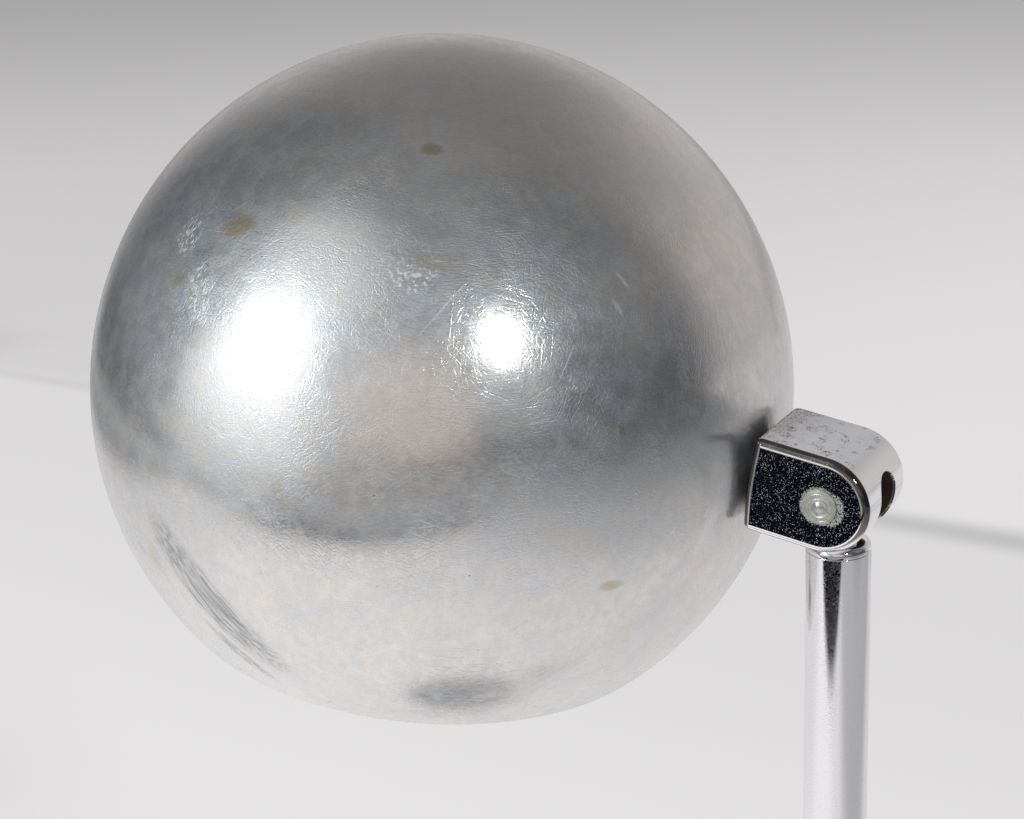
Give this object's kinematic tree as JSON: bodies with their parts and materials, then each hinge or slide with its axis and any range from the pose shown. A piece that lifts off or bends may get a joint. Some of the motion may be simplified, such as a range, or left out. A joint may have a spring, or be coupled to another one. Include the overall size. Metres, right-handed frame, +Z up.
{
  "type": "articulated desk lamp",
  "caption": "Desk lamp with a spun ball shade, two tube arms joined by slotted knuckles, and a weighted round base with a swivel post.",
  "frame": {"origin": "middle of the felt foot's underside, which rests on the table", "axes": "+Z up; the shade reaches towards -X, the lower arm leans back towards +X, and the knuckle pins lie along Y"},
  "size_m": [0.1923, 0.19, 0.646],
  "materials": {
    "shade_aluminium": "spun and satin polished, with fine circular scratches",
    "base_aluminium": "spun and satin polished",
    "chrome_plate": "polished plating",
    "steel": "zinc plated",
    "cast_iron": "rough as cast",
    "fibreboard": "pressed fibre sheet",
    "felt": "felt",
    "phenolic": "moulded phenolic",
    "lead_jacket": "satin",
    "nylon": "satin",
    "brass": "bright",
    "opal_glass": "frosted inside"
  },
  "bodies": {
    "base": {"base_cover": "base_aluminium", "base_weight": "cast_iron", "bottom_plate": "fibreboard", "felt_pad": "felt", "base_stud": "steel", "base_washer": "steel", "base_nut": "steel", "base_collar": "chrome_plate", "cord_bushing": "phenolic", "switch_body": "steel", "switch_nut": "chrome_plate", "supply_lead": "lead_jacket", "riser_lead": "lead_jacket"},
    "switch": {"switch_shaft": "brass", "switch_knob": "chrome_plate"},
    "post": {"swivel_washer": "nylon", "swivel_post": "chrome_plate", "post_screw": "steel", "shoulder_nipple": "steel", "shoulder_block": "chrome_plate", "shoulder_pin": "steel", "shoulder_washer_near": "nylon", "shoulder_washer_far": "nylon"},
    "lower_arm": {"lower_arm_tongue": "chrome_plate", "lower_arm_tube": "chrome_plate", "lower_arm_lead": "lead_jacket", "elbow_spigot": "steel", "elbow_block": "chrome_plate", "elbow_pin": "steel", "elbow_washer_near": "nylon", "elbow_washer_far": "nylon"},
    "upper_arm": {"upper_arm_foot_tongue": "chrome_plate", "upper_arm_tube": "chrome_plate", "upper_arm_lead": "lead_jacket", "upper_arm_head_tongue": "chrome_plate"},
    "head": {"head_block": "chrome_plate", "head_pin": "steel", "head_washer_near": "nylon", "head_washer_far": "nylon", "shade": "shade_aluminium", "shade_nipple": "steel", "shade_washer": "steel", "shade_nut": "steel", "holder_cap": "phenolic", "holder_shell": "phenolic", "holder_insulator": "fibreboard", "screw_shell": "brass", "centre_contact": "brass", "bulb_cap": "brass", "bulb_glass": "opal_glass", "head_lead": "lead_jacket"}
  },
  "joints": [
    {"name": "base_swivel", "type": "hinge", "parent": "base", "child": "post", "pos_m": [0, 0, 0.04], "axis": [0, 0, 1], "range_deg": [-150, 150]},
    {"name": "shoulder_tilt", "type": "hinge", "parent": "post", "child": "lower_arm", "pos_m": [0, 0, 0.08015], "axis": [0, 1, 0], "range_deg": [-30, 75]},
    {"name": "elbow_fold", "type": "hinge", "parent": "lower_arm", "child": "upper_arm", "pos_m": [0.0855, 0, 0.31507], "axis": [0, 1, 0], "range_deg": [-75, 30]},
    {"name": "head_tilt", "type": "hinge", "parent": "upper_arm", "child": "head", "pos_m": [0.0855, 0, 0.56507], "axis": [0, 1, 0], "range_deg": [-16, 90]},
    {"name": "switch_turn", "type": "hinge", "parent": "base", "child": "switch", "pos_m": [-0.062, 0, 0.03], "axis": [0, 0, 1], "continuous": true}
  ]
}
